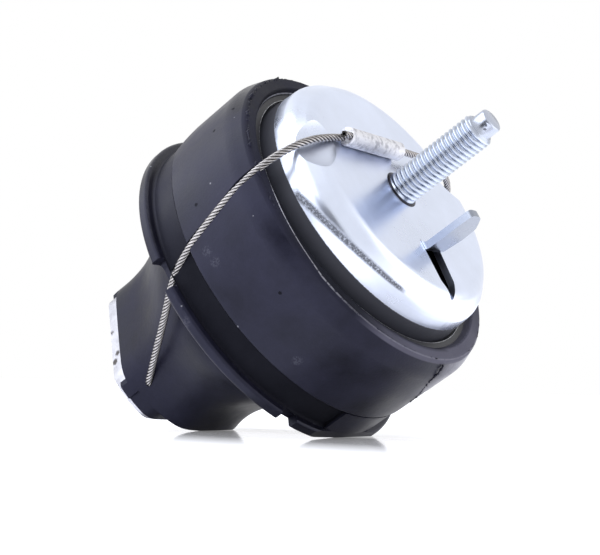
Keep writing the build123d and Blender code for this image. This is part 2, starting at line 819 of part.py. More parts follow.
# Diaphragm: bellows and the bead that the cap clamps, with a steel ring in the bead
with BuildPart() as diaphragm:
    with BuildSketch(Plane.XZ):
        with BuildLine():
            FilletPolyline(
                (0, bellows_centre_z),
                (bellows_centre_r, bellows_centre_z),
                (bellows_crest_inner_r, bellows_top_z),
                (bellows_crest_outer_r, bellows_top_z),
                (bellows_outer_r, track_top_z + bead_height / 2),
                (bead_inner_r + bellows_wall, track_top_z + bead_height / 2),
                radius=[bellows_bend_r, bellows_bend_r, bellows_bend_r, bellows_foot_bend_r],
            )
        trace(line_width=bellows_wall)
        with Locations((bead_inner_r, track_top_z)):
            Rectangle(bead_width, bead_height, align=(Align.MIN, Align.MIN))
        with Locations((seat_r - bead_ring_edge, track_top_z)):
            Rectangle(bead_ring_width, bead_ring_height, align=(Align.MAX, Align.MIN), mode=Mode.SUBTRACT)
    revolve(axis=Axis.Z)
diaphragm.part.label = "diaphragm"

with BuildPart() as diaphragm_ring:
    with BuildSketch(Plane.XY.offset(track_top_z)):
        Circle(seat_r - bead_ring_edge)
        Circle(seat_r - bead_ring_edge - bead_ring_width, mode=Mode.SUBTRACT)
    extrude(amount=bead_ring_height)
diaphragm_ring.part.label = "diaphragm_ring"

# One STEP file for each piece
for piece in (
    top_cap,
    stud,
    outer_can,
    rubber_jacket,
    main_spring,
    core,
    safety_cable,
    cable_ferrule,
    spring_ring,
    rebound_plate,
    rebound_buffer,
    rebound_rivet,
    track_seal,
    track_lower_plate,
    track_upper_plate,
    track_rivets,
    decoupler_disc,
    diaphragm,
    diaphragm_ring,
):
    export_step(piece.part, f"parts/{piece.part.label}.step")
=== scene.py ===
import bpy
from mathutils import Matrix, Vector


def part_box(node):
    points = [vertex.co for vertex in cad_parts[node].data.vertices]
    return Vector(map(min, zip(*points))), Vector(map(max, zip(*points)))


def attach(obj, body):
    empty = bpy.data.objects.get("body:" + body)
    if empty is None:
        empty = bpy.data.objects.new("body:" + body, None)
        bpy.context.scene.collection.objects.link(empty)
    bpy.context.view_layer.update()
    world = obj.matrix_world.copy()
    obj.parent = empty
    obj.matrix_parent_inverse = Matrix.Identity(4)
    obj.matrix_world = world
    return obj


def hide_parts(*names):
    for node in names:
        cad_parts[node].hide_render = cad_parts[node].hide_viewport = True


bl_info = {
    "name": "Engine mount",
    "version": (1, 0, 0),
    "blender": (4, 5, 0),
    "location": "3D View > Sidebar > Engine mount",
    "description": "Dresses a hydraulic engine mount: thread, wire rope, zinc, steel and rubber finishes",
    "category": "Object",
}

from math import ceil, cos, pi, radians, sin, tau

import bmesh
import bpy
from bpy.props import FloatProperty, FloatVectorProperty, IntProperty, PointerProperty
from mathutils import Matrix, Vector, noise

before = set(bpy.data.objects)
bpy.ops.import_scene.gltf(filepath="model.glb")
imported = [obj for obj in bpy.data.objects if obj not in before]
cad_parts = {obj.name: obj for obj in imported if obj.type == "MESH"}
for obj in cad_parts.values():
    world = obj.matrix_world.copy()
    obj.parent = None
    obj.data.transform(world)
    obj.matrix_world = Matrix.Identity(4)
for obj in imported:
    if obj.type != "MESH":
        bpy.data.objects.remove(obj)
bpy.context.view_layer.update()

MM = 0.001

# Places that come from the frame, in metres; the ferrule lies on the cap's flat top
stud_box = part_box("stud")
ferrule_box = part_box("cable_ferrule")
plateau_z = ferrule_box[0][2]

# One side of the safety cable, in millimetres: the model's points, with a few more on its straight run
# and where it enters the core
CABLE_SIDE = (
    (-12.6, 46.3, 112.7),
    (-8.1, 58.4, 96.3),
    (-1.1, 58.9, 66.6),
    (2.9, 56.4, 55.2),
    (6.3, 47.2, 41.0),
    (11.0, 37.6, 23.9),
    (13.1, 33.0, 16.0),
    (14.2, 30.2, 11.2),
    (14.2, 24.0, 11.5),
)
# Across and height of the rope's two ends where they lie side by side in the ferrule
LOW_STRAND = (-15.05, 117.025)
HIGH_STRAND = (-13.75, 119.275)

# Places on the cap and the can
LIP_R = 49.0 * MM
LIP_FADE = 0.05 * MM
# Top of the painted dark reflection on the cap's wall
WALL_REFLECTION_TOP = (103.3 * MM, 103.5 * MM)
# Painted dark reflection in a band across the cap's shoulder: its turn, top, drop and width
STREAK_TURN = (radians(-87), radians(-33))
STREAK_TOP = 110.4 * MM
STREAK_DROP = 6.2 * MM
STREAK_BAND = (-0.5 * MM, 0.3 * MM)
# Painted shade in a ring round the stud's foot
STUD_SHADE_RING_R = 6.8 * MM
TAB_FOOT = (115.3 * MM, 115.9 * MM)

# Places on the jacket: neck with its painted shade, top of the rim, bright line inside it, dust on the
# shoulder and the rim
NECK_BAND = (57.0 * MM, 73.5 * MM)
NECK_WALL = (58.5 * MM, 58.8 * MM)
NECK_TURN = (radians(-112), radians(-88))
RIM_TOP = (98.2 * MM, 98.6 * MM)
LINE_R = (51.2 * MM, 56.4 * MM)
LINE_TURN = (radians(-104), radians(-58))
LINE_WIDTH = 0.25 * MM
LINE_END = (radians(-85), radians(-45))
COVER_END = (radians(-45), radians(-15))
DUST_FOOT = (80.0 * MM, 84.0 * MM)
DUST_START = (radians(3), radians(9))
DUST_END = (radians(30), radians(75))
CRESCENT_TURN = (radians(-28), radians(25))
CRESCENT_R = (52.5 * MM, 54.0 * MM)

# Ragged marks, in millimetres
JACKET_NICKS = ((-38.6, -44.2, 95.1), (-34.3, -48.4, 87.6), (-11.7, -58.1, 75.8), (27.9, -52.3, 86.5))
JACKET_SCUFFS = ((4.5, -59.1, 72.9), (8.8, -58.6, 73.8), (44.0, -39.7, 74.4), (18.8, -58.3, 54.6))
STUD_MARKS = ((2.6, -3.1, 151.8), (2.0, -3.6, 152.9))
CORE_REMAINS = (
    (-1.0, -28.9, 1.0),
    (2.0, -28.6, 1.4),
    (-4.0, -28.4, 2.6),
    (4.5, -28.0, 0.6),
    (-14.0, -24.5, 0.8),
)

# Colours of what lies on the finishes or is worn into them, and of the painted shade and reflection on
# them
CAP_REFLECTION_AND_SHADE = (0.030, 0.031, 0.042)
CAP_TAB = (0.20, 0.22, 0.26)
CAN_EDGE = (0.72, 0.74, 0.78)
CAN_FILM = (0.014, 0.014, 0.020)
STUD_STAIN_AND_SHADE = (0.03, 0.03, 0.04)
STUD_HAZE = (0.30, 0.36, 0.44)
RUBBER_SHEEN = (0.72, 0.74, 1.0, 1.0)
RUBBER_SCUFF = (0.10, 0.10, 0.12)
RUBBER_SPECK = (0.16, 0.16, 0.18)
JACKET_SCUFF = (0.07, 0.07, 0.09)
JACKET_DUST = (0.085, 0.082, 0.11)
JACKET_SHADE_AND_NICKS = (0.001, 0.001, 0.002)
JACKET_LINE = (0.55, 0.55, 0.60)
CORE_STAIN = (0.035, 0.028, 0.026)
FERRULE_PIT = (0.44, 0.44, 0.48)
FERRULE_FACE = (0.74, 0.74, 0.78)
ROPE_GROOVE_SHADE_AND_DIRT = (0.055, 0.053, 0.05)


class FinishSettings(bpy.types.PropertyGroup):
    """Colours of the finishes."""

    zinc: FloatVectorProperty(
        name="Zinc",
        description="Colour of the bright zinc on the cap and the stud",
        default=(0.66, 0.71, 0.84),
        subtype="COLOR",
        min=0,
        max=1,
    )
    rubber: FloatVectorProperty(
        name="Rubber",
        description="Colour of the moulded rubber",
        default=(0.005, 0.005, 0.0095),
        subtype="COLOR",
        min=0,
        max=1,
    )
    rope: FloatVectorProperty(
        name="Rope",
        description="Colour of the steel rope's wires",
        default=(0.42, 0.40, 0.40),
        subtype="COLOR",
        min=0,
        max=1,
    )


class ThreadSettings(bpy.types.PropertyGroup):
    """Sizes of the stud's thread."""

    pitch: FloatProperty(
        name="Pitch",
        description="Distance from one thread to the next",
        default=1.75 * MM,
        unit="LENGTH",
    )
    depth: FloatProperty(
        name="Depth",
        description="Depth of the thread below its crest",
        default=0.68 * MM,
        unit="LENGTH",
    )
    segments: IntProperty(
        name="Segments",
        description="Steps round one turn of the thread",
        default=64,
        min=16,
    )


class RopeSettings(bpy.types.PropertyGroup):
    """Sizes of the stranded rope."""

    radius: FloatProperty(
        name="Radius",
        description="Outer radius of the rope",
        default=1.25 * MM,
        unit="LENGTH",
    )
    strands: IntProperty(
        name="Strands",
        description="Strands laid side by side round the rope",
        default=6,
        min=3,
    )
    lay: FloatProperty(
        name="Lay length",
        description="Length in which a strand goes once round the rope",
        default=10.0 * MM,
        unit="LENGTH",
    )


class StageSettings(bpy.types.PropertyGroup):
    """Camera and light."""

    lens: FloatProperty(
        name="Lens",
        description="Focal length for a 36 mm wide sensor",
        default=96.0,
        subtype="DISTANCE_CAMERA",
    )
    light: FloatProperty(
        name="Light",
        description="Brightness of all the lamps together",
        default=1.0,
        min=0,
    )


# Small helpers for node trees and meshes
def new_material(name):
    """Material with an empty node tree, its output and a Principled shader."""
    material = bpy.data.materials.new(name)
    material.use_nodes = True
    tree = material.node_tree
    tree.nodes.clear()
    output = tree.nodes.new("ShaderNodeOutputMaterial")
    shader = tree.nodes.new("ShaderNodeBsdfPrincipled")
    tree.links.new(shader.outputs["BSDF"], output.inputs["Surface"])
    return material, tree, shader


def ramp(tree, source, low, high, low_value=0.0, high_value=1.0):
    """Straight ramp of a value between two limits."""
    node = tree.nodes.new("ShaderNodeMapRange")
    node.clamp = True
    node.inputs["From Min"].default_value = low
    node.inputs["From Max"].default_value = high
    node.inputs["To Min"].default_value = low_value
    node.inputs["To Max"].default_value = high_value
    tree.links.new(source, node.inputs["Value"])
    return node.outputs["Result"]


def math(tree, operation, first, second=0.0):
    """Math node on values or sockets."""
    node = tree.nodes.new("ShaderNodeMath")
    node.operation = operation
    for socket, value in zip(node.inputs, (first, second)):
        if isinstance(value, (int, float)):
            socket.default_value = value
        else:
            tree.links.new(value, socket)
    return node.outputs["Value"]


def mix_colour(tree, factor, first, second):
    """Mix of two colours or colour sockets."""
    node = tree.nodes.new("ShaderNodeMix")
    node.data_type = "RGBA"
    tree.links.new(factor, node.inputs["Factor"])
    for socket, value in ((node.inputs[6], first), (node.inputs[7], second)):
        if isinstance(value, bpy.types.NodeSocket):
            tree.links.new(value, socket)
        else:
            socket.default_value = (*value[:3], 1.0)
    return node.outputs[2]


def mix_shaders(tree, factor, first, second):
    """Mix of two shaders."""
    node = tree.nodes.new("ShaderNodeMixShader")
    for socket, source in zip(node.inputs, (factor, first, second)):
        tree.links.new(source, socket)
    return node.outputs["Shader"]


def bump(tree, height, strength, distance):
    """Normal from a height."""
    node = tree.nodes.new("ShaderNodeBump")
    node.inputs["Strength"].default_value = strength
    node.inputs["Distance"].default_value = distance
    tree.links.new(height, node.inputs["Height"])
    return node.outputs["Normal"]


def object_coordinates(tree):
    """Object coordinates, which are the frame's own metres."""
    return tree.nodes.new("ShaderNodeTexCoord").outputs["Object"]


def cylinder_coordinates(tree):
    """Radius, angle and height of a point round the stud's axis."""
    parts = tree.nodes.new("ShaderNodeSeparateXYZ")
    tree.links.new(object_coordinates(tree), parts.inputs["Vector"])
    across = math(tree, "MULTIPLY", parts.outputs["X"], parts.outputs["X"])
    deep = math(tree, "MULTIPLY", parts.outputs["Y"], parts.outputs["Y"])
    radius = math(tree, "SQRT", math(tree, "ADD", across, deep))
    angle = math(tree, "ARCTAN2", parts.outputs["Y"], parts.outputs["X"])
    return radius, angle, parts.outputs["Z"]


def band(tree, value, low, high, soft):
    """Mask that is one between two limits and fades out past them."""
    rise = ramp(tree, value, low - soft, low)
    fall = ramp(tree, value, high, high + soft, 1.0, 0.0)
    return math(tree, "MULTIPLY", rise, fall)


def either(tree, masks):
    """The greatest of several masks."""
    result = masks[0]
    for mask in masks[1:]:
        result = math(tree, "MAXIMUM", result, mask)
    return result


def product(tree, *masks):
    """The product of several masks or numbers."""
    result = masks[0]
    for mask in masks[1:]:
        result = math(tree, "MULTIPLY", result, mask)
    return result


def place_marks(tree, places, size):
    """One mask of ragged marks at several places, in millimetres."""
    masks = []
    for place in places:
        mark = place_group(tree, "Mark", place=[value * MM for value in place], size=size * MM)
        masks.append(mark.outputs["Mask"])
    return either(tree, masks)


def noise_value(tree, vector, scale, detail=3.0, roughness=0.6):
    """Noise at a number of grains to the metre."""
    node = tree.nodes.new("ShaderNodeTexNoise")
    node.inputs["Scale"].default_value = scale
    node.inputs["Detail"].default_value = detail
    node.inputs["Roughness"].default_value = roughness
    tree.links.new(vector, node.inputs["Vector"])
    return node.outputs["Fac"]


def new_group(name, inputs, outputs):
    """Empty shader node group with named sockets, its input node and its output node."""
    group = bpy.data.node_groups.new(name, "ShaderNodeTree")
    for label, kind, value in inputs:
        socket = group.interface.new_socket(name=label, in_out="INPUT", socket_type=kind)
        if value is not None:
            socket.default_value = value
    for label, kind in outputs:
        group.interface.new_socket(name=label, in_out="OUTPUT", socket_type=kind)
    entry = group.nodes.new("NodeGroupInput")
    leave = group.nodes.new("NodeGroupOutput")
    return group, entry, leave


def place_group(tree, name, **values):
    """Node group placed in a material with its own values, named as its sockets are."""
    node = tree.nodes.new("ShaderNodeGroup")
    node.node_tree = bpy.data.node_groups[name]
    for label, value in values.items():
        node.inputs[label.replace("_", " ").capitalize()].default_value = value
    return node


def reopen(material):
    """A finish's tree and shader, with what feeds its colour and its roughness."""
    tree = material.node_tree
    shader = tree.nodes["Principled BSDF"]
    feeds = [shader.inputs[name].links[0].from_socket for name in ("Base Color", "Roughness")]
    return tree, shader, *feeds


def new_object(name, mesh, material):
    """Object at the origin with one material, smooth shading and a place on the root body."""
    piece = bpy.data.objects.new(name, mesh)
    bpy.context.collection.objects.link(piece)
    mesh.materials.append(material)
    mesh.shade_smooth()
    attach(piece, "root")
    return piece


def mesh_from(name, points, faces):
    """Mesh from points and faces, with its normals made consistent."""
    mesh = bpy.data.meshes.new(name)
    mesh.from_pydata(points, [], faces)
    mesh.validate()
    work = bmesh.new()
    work.from_mesh(mesh)
    bmesh.ops.recalc_face_normals(work, faces=work.faces)
    work.to_mesh(mesh)
    work.free()
    return mesh


def join_rings(faces, base, rows, sides):
    """Add the faces between rings of points that follow each other, the first at a base index."""
    for row in range(rows - 1):
        for step in range(sides):
            after = (step + 1) % sides
            low, high = base + row * sides, base + (row + 1) * sides
            faces.append((low + step, low + after, high + after, high + step))


def dress(node, material):
    """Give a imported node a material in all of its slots."""
    piece = bpy.data.objects[node]
    if not piece.material_slots:
        piece.data.materials.append(material)
    for material_slot in piece.material_slots:
        material_slot.material = material


# Effects that several finishes share
def make_grain_group():
    """Grain: a fine and a coarse noise, as a height and a mask."""
    group, entry, leave = new_group(
        "Grain",
        [("Fine scale", "NodeSocketFloat", 900.0), ("Coarse scale", "NodeSocketFloat", 60.0)],
        [("Fine", "NodeSocketFloat"), ("Coarse", "NodeSocketFloat")],
    )
    vector = object_coordinates(group)
    for label, detail, target in (("Fine scale", 4.0, "Fine"), ("Coarse scale", 5.0, "Coarse")):
        node = group.nodes.new("ShaderNodeTexNoise")
        node.inputs["Detail"].default_value = detail
        node.inputs["Roughness"].default_value = 0.62
        group.links.new(vector, node.inputs["Vector"])
        group.links.new(entry.outputs[label], node.inputs["Scale"])
        group.links.new(node.outputs["Fac"], leave.inputs[target])


def make_dust_group():
    """Dust: sparse pale specks and thin scuffs as one mask."""
    group, entry, leave = new_group(
        "Dust",
        [("Speck scale", "NodeSocketFloat", 260.0), ("Speck size", "NodeSocketFloat", 0.10)],
        [("Specks", "NodeSocketFloat"), ("Scuffs", "NodeSocketFloat")],
    )
    vector = object_coordinates(group)
    cells = group.nodes.new("ShaderNodeTexVoronoi")
    cells.inputs["Randomness"].default_value = 1.0
    group.links.new(vector, cells.inputs["Vector"])
    group.links.new(entry.outputs["Speck scale"], cells.inputs["Scale"])
    near = math(group, "LESS_THAN", cells.outputs["Distance"], entry.outputs["Speck size"])
    separate = group.nodes.new("ShaderNodeSeparateColor")
    group.links.new(cells.outputs["Color"], separate.inputs["Color"])
    chosen = math(group, "GREATER_THAN", separate.outputs["Red"], 0.88)
    group.links.new(math(group, "MULTIPLY", near, chosen), leave.inputs["Specks"])
    stretch = group.nodes.new("ShaderNodeMapping")
    stretch.inputs["Rotation"].default_value = (0.4, 0.9, 0.3)
    stretch.inputs["Scale"].default_value = (1.0, 1.0, 0.16)
    group.links.new(vector, stretch.inputs["Vector"])
    streaks = noise_value(group, stretch.outputs["Vector"], 420.0, 6.0, 0.7)
    patches = noise_value(group, vector, 24.0, 2.0)
    thin = ramp(group, streaks, 0.66, 0.74)
    places = ramp(group, patches, 0.60, 0.68)
    group.links.new(math(group, "MULTIPLY", thin, places), leave.inputs["Scuffs"])


def make_mark_group():
    """Mark: a small ragged spot round one place."""
    group, entry, leave = new_group(
        "Mark",
        [("Place", "NodeSocketVector", None), ("Size", "NodeSocketFloat", 0.001)],
        [("Mask", "NodeSocketFloat")],
    )
    vector = object_coordinates(group)
    apart = group.nodes.new("ShaderNodeVectorMath")
    apart.operation = "DISTANCE"
    group.links.new(vector, apart.inputs[0])
    group.links.new(entry.outputs["Place"], apart.inputs[1])
    size = entry.outputs["Size"]
    ragged = noise_value(group, vector, 2100.0, 5.0, 0.8)
    reach = math(group, "MULTIPLY", size, math(group, "MULTIPLY", ragged, 2.6))
    within = math(group, "SUBTRACT", reach, apart.outputs["Value"])
    share = math(group, "DIVIDE", within, size)
    group.links.new(ramp(group, share, 0.0, 0.35), leave.inputs["Mask"])


# Finishes
def cap_finish():
    """Zinc of the cap: painted dark reflection on its wall and in a band across its shoulder, painted
    shade in a ring at the stud, a dull tab.
    """
    material = zinc_finish("zinc_cap", 0.30, 0.05)
    tree, shader, tint, rough = reopen(material)
    fine = noise_value(tree, object_coordinates(tree), 1500.0, 5.0, 0.8)
    radius, angle, height = cylinder_coordinates(tree)

    # Painted dark reflection of the rubber on the cap's lower wall, up to an uneven line
    ragged = math(tree, "MULTIPLY", math(tree, "SUBTRACT", fine, 0.5), 0.6 * MM)
    film_and_wall_reflection = ramp(tree, math(tree, "ADD", height, ragged), *WALL_REFLECTION_TOP, 1.0, 0.0)

    # Painted dark reflection in a band across the shoulder, dropping as it turns
    turned = ramp(tree, angle, *STREAK_TURN, 1.0, 0.0)
    drop = math(tree, "MULTIPLY", math(tree, "POWER", turned, 2.5), STREAK_DROP)
    away = math(tree, "ADD", math(tree, "SUBTRACT", height, STREAK_TOP), drop)
    spread = ramp(tree, angle, *STREAK_TURN, 2.0, 0.8)
    across = band(tree, math(tree, "DIVIDE", away, spread), *STREAK_BAND, 0.6 * MM)
    along = band(tree, angle, *STREAK_TURN, radians(4))
    reflection_streak = product(tree, across, along, ramp(tree, fine, 0.24, 0.52), 0.9)

    # Painted shade in a thin ring round the stud's foot
    ring = band(tree, radius, 0.0, STUD_SHADE_RING_R, 0.2 * MM)
    # Painted reflection and shade, mixed into the zinc's colour
    dark = either(tree, [film_and_wall_reflection, reflection_streak, ring])
    dulled = mix_colour(tree, ramp(tree, height, *TAB_FOOT, 0.0, 0.8), tint, CAP_TAB)
    duller = math(tree, "ADD", rough, math(tree, "MULTIPLY", dark, 0.25))
    tree.links.new(mix_colour(tree, dark, dulled, CAP_REFLECTION_AND_SHADE), shader.inputs["Base Color"])
    tree.links.new(ramp(tree, dark, 0.0, 1.0, 1.0, 0.15), shader.inputs["Metallic"])
    tree.links.new(duller, shader.inputs["Roughness"])
    return material


def zinc_finish(name, roughness, haze):
    """Bright bluish zinc on steel, with soft haze and fine scratches."""
    colour = bpy.context.scene.mount_finish.zinc
    material, tree, shader = new_material(name)
    shader.inputs["Metallic"].default_value = 1.0
    grain = place_group(tree, "Grain", fine_scale=1400.0, coarse_scale=38.0)
    cloud = ramp(tree, grain.outputs["Coarse"], 0.35, 0.68)
    pale = [min(1.0, channel * 1.12) for channel in colour]
    tint = mix_colour(tree, cloud, tuple(colour), tuple(pale))
    tree.links.new(tint, shader.inputs["Base Color"])
    rough = ramp(tree, grain.outputs["Coarse"], 0.3, 0.7, roughness - haze, roughness + haze)
    tree.links.new(rough, shader.inputs["Roughness"])
    tree.links.new(bump(tree, grain.outputs["Fine"], 0.10, 0.05 * MM), shader.inputs["Normal"])
    return material


def jacket_finish():
    """Rubber of the jacket: painted shade on its neck and on the rim's top, nicks, scuffs, dust, and a
    bright line inside the rim.
    """
    material = rubber_finish("jacket_rubber", 0.37, 1.0)
    tree, shader, base, rough = reopen(material)
    fine = noise_value(tree, object_coordinates(tree), 1300.0, 4.0, 0.75)
    radius, angle, height = cylinder_coordinates(tree)
    top = ramp(tree, height, *RIM_TOP)

    # Painted shade on the recessed neck under the drum
    inside = ramp(tree, radius, *NECK_WALL, 1.0, 0.0)
    turned = ramp(tree, angle, *NECK_TURN, 0.35, 1.0)
    neck = product(tree, inside, band(tree, height, *NECK_BAND, 0.2 * MM), turned)

    beyond = math(tree, "SUBTRACT", radius, ramp(tree, angle, *LINE_TURN, *LINE_R))
    under = ramp(tree, beyond, -0.2 * MM, 0.1 * MM, 1.0, 0.0)
    # Painted shade on the rim's top inside the bright line
    rim_top_shade = product(tree, top, under, ramp(tree, angle, *COVER_END, 1.0, 0.0), 0.9)
    edge = band(tree, beyond, 0.0, LINE_WIDTH, 0.15 * MM)
    broken = ramp(tree, fine, 0.36, 0.50)
    line = product(tree, top, edge, broken, ramp(tree, angle, *LINE_END, 1.0, 0.12))

    scuffs = product(tree, place_marks(tree, JACKET_SCUFFS, 1.5), ramp(tree, fine, 0.46, 0.56), 0.4)
    start = ramp(tree, angle, *DUST_START)
    dusty = product(tree, start, ramp(tree, height, *DUST_FOOT), ramp(tree, angle, *DUST_END, 1.0, 0.0))
    rim_turn = band(tree, angle, *CRESCENT_TURN, radians(14))
    crescent = product(tree, rim_turn, top, ramp(tree, radius, *CRESCENT_R))

    dark = either(tree, [neck, place_marks(tree, JACKET_NICKS, 0.55), rim_top_shade])
    colour = mix_colour(tree, scuffs, base, JACKET_SCUFF)
    colour = mix_colour(tree, either(tree, [dusty, crescent]), colour, JACKET_DUST)
    colour = mix_colour(tree, dark, colour, JACKET_SHADE_AND_NICKS)
    colour = mix_colour(tree, line, colour, JACKET_LINE)
    tree.links.new(colour, shader.inputs["Base Color"])
    dull = either(tree, [math(tree, "MULTIPLY", dark, 0.4), math(tree, "MULTIPLY", top, 0.3)])
    tree.links.new(math(tree, "ADD", rough, dull), shader.inputs["Roughness"])
    return material


def rubber_finish(name, roughness, scuffed, shine=0.24):
    """Satin moulded rubber, with fine grain, pale specks and scuffs."""
    colour = bpy.context.scene.mount_finish.rubber
    material, tree, shader = new_material(name)
    shader.inputs["Specular IOR Level"].default_value = shine
    shader.inputs["Specular Tint"].default_value = RUBBER_SHEEN
    grain = place_group(tree, "Grain", fine_scale=1100.0, coarse_scale=45.0)
    dust = place_group(tree, "Dust", speck_scale=210.0, speck_size=0.07)
    cloud = ramp(tree, grain.outputs["Coarse"], 0.35, 0.7)
    pale = tuple(channel * 3.0 for channel in colour)
    base = mix_colour(tree, cloud, tuple(colour), pale)
    worn = math(tree, "MULTIPLY", dust.outputs["Scuffs"], scuffed)
    scuffed_colour = mix_colour(tree, worn, base, RUBBER_SCUFF)
    specks = math(tree, "MULTIPLY", dust.outputs["Specks"], scuffed)
    speckled = mix_colour(tree, specks, scuffed_colour, RUBBER_SPECK)
    tree.links.new(speckled, shader.inputs["Base Color"])
    rough = ramp(tree, grain.outputs["Coarse"], 0.3, 0.7, roughness - 0.10, roughness + 0.10)
    tree.links.new(rough, shader.inputs["Roughness"])
    fine = math(tree, "MULTIPLY", grain.outputs["Fine"], 0.4)
    height = math(tree, "ADD", fine, grain.outputs["Coarse"])
    tree.links.new(bump(tree, height, 0.35, 0.4 * MM), shader.inputs["Normal"])
    return material


def can_finish():
    """Steel of the can: a bright worn edge round the lip, and a black coat over the rest of it."""
    material, tree, shader = new_material("can_steel")
    grain = place_group(tree, "Grain", fine_scale=1500.0, coarse_scale=150.0)
    radius = cylinder_coordinates(tree)[0]
    ragged = math(tree, "MULTIPLY", math(tree, "SUBTRACT", grain.outputs["Fine"], 0.4), 0.6 * MM)
    edge = math(tree, "SUBTRACT", radius, ragged)
    film_and_wall_reflection = ramp(tree, edge, LIP_R - LIP_FADE, LIP_R + LIP_FADE)
    tree.links.new(mix_colour(tree, film_and_wall_reflection, CAN_EDGE, CAN_FILM), shader.inputs["Base Color"])
    tree.links.new(ramp(tree, film_and_wall_reflection, 0.0, 1.0, 1.0, 0.0), shader.inputs["Metallic"])
    tree.links.new(ramp(tree, film_and_wall_reflection, 0.0, 1.0, 0.30, 0.5), shader.inputs["Roughness"])
    tree.links.new(bump(tree, grain.outputs["Fine"], 0.3, 0.1 * MM), shader.inputs["Normal"])
    return material


def steel_finish(name, colour, roughness):
    """Bare metal with fine grain, clouded a little darker."""
    material, tree, shader = new_material(name)
    shader.inputs["Metallic"].default_value = 1.0
    grain = place_group(tree, "Grain", fine_scale=1600.0, coarse_scale=180.0)
    dark = tuple(channel * 0.7 for channel in colour)
    tint = mix_colour(tree, ramp(tree, grain.outputs["Coarse"], 0.35, 0.65), dark, colour)
    tree.links.new(tint, shader.inputs["Base Color"])
    rough = ramp(tree, grain.outputs["Fine"], 0.3, 0.7, roughness - 0.08, roughness + 0.08)
    tree.links.new(rough, shader.inputs["Roughness"])
    tree.links.new(bump(tree, grain.outputs["Coarse"], 0.3, 0.15 * MM), shader.inputs["Normal"])
    return material


def core_finish():
    """Cast aluminium, rough where it is bare, with dark remains of rubber at its edges."""
    material = steel_finish("cast_core", (0.52, 0.52, 0.56), 0.45)
    tree, shader, tint, _ = reopen(material)
    patches = noise_value(tree, object_coordinates(tree), 210.0, 6.0, 0.75)
    stained = either(tree, [place_marks(tree, CORE_REMAINS, 1.1), ramp(tree, patches, 0.68, 0.72)])
    tree.links.new(mix_colour(tree, stained, tint, CORE_STAIN), shader.inputs["Base Color"])
    tree.links.new(ramp(tree, stained, 0.0, 1.0, 1.0, 0.1), shader.inputs["Metallic"])
    return material


def ferrule_finish():
    """Soft aluminium, wrinkled and pitted by the crimping tool."""
    material, tree, shader = new_material("crimped_aluminium")
    shader.inputs["Metallic"].default_value = 0.9
    grain = place_group(tree, "Grain", fine_scale=2200.0, coarse_scale=420.0)
    smooth = ramp(tree, grain.outputs["Coarse"], 0.36, 0.52)
    tree.links.new(mix_colour(tree, smooth, FERRULE_PIT, FERRULE_FACE), shader.inputs["Base Color"])
    tree.links.new(ramp(tree, grain.outputs["Fine"], 0.3, 0.7, 0.34, 0.56), shader.inputs["Roughness"])
    height = math(tree, "ADD", grain.outputs["Coarse"], math(tree, "MULTIPLY", grain.outputs["Fine"], 0.4))
    tree.links.new(bump(tree, height, 0.9, 0.5 * MM), shader.inputs["Normal"])
    return material


class MOUNT_OT_finishes(bpy.types.Operator):
    """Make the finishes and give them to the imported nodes"""

    bl_idname = "mount.finishes"
    bl_label = "Finishes"

    def execute(self, context):
        make_grain_group()
        make_dust_group()
        make_mark_group()
        steel = steel_finish("plain_steel", (0.58, 0.60, 0.63), 0.35)
        aluminium = steel_finish("cast_aluminium", (0.60, 0.60, 0.63), 0.45)
        spring = rubber_finish("spring_rubber", 0.42, 0.6, 0.15)
        finishes = (
            (cap_finish(), ("top_cap",)),
            (can_finish(), ("outer_can",)),
            (steel, ("spring_ring", "rebound_plate", "rebound_rivet", "track_rivets", "diaphragm_ring")),
            (core_finish(), ("core",)),
            (aluminium, ("track_lower_plate", "track_upper_plate")),
            (jacket_finish(), ("rubber_jacket", "diaphragm")),
            (spring, ("main_spring", "rebound_buffer", "track_seal", "decoupler_disc")),
            (ferrule_finish(), ("cable_ferrule",)),
        )
        for material, nodes in finishes:
            for node in nodes:
                dress(node, material)
        return {"FINISHED"}


# Stud with its rolled thread
STUD_CREST_R = 5.97 * MM
STUD_COLLAR_R = 6.6 * MM
STUD_COLLAR_RISE = 0.4 * MM
STUD_COLLAR_EDGE = 0.15 * MM
STUD_HEAD_R = 11.0 * MM
STUD_HEAD_HEIGHT = 4.0 * MM
STUD_HEAD_EDGE = 0.6 * MM
STUD_DOG_R = 4.25 * MM
STUD_DOG_LENGTH = 5.0 * MM
STUD_CHAMFER = 1.0 * MM
STUD_HAZE_TOP = (147.0 * MM, 151.0 * MM)
THREAD_ROWS = 16
THREAD_FLAT = 0.10
THREAD_FLANK = 0.78
RUNOUT_TURNS = 1.2
RUNOUT_DEPTH = 0.25


def thread_radius(height, angle, start_z, end_z, settings):
    """Radius of the rolled thread's surface at a height and an angle."""
    turn = (height / settings.pitch - angle / tau) % 1.0
    wave = abs(2 * turn - 1)
    profile = min(1.0, max(0.0, (wave - THREAD_FLAT) / THREAD_FLANK))
    runout = min(1.0, max(0.0, (height - start_z) / (RUNOUT_TURNS * settings.pitch)))
    chamfer = max(0.0, height - (end_z - STUD_CHAMFER))
    crest = STUD_CREST_R - chamfer
    root = STUD_CREST_R - settings.depth * (RUNOUT_DEPTH + (1.0 - RUNOUT_DEPTH) * runout)
    return min(crest, root + (STUD_CREST_R - root) * profile)


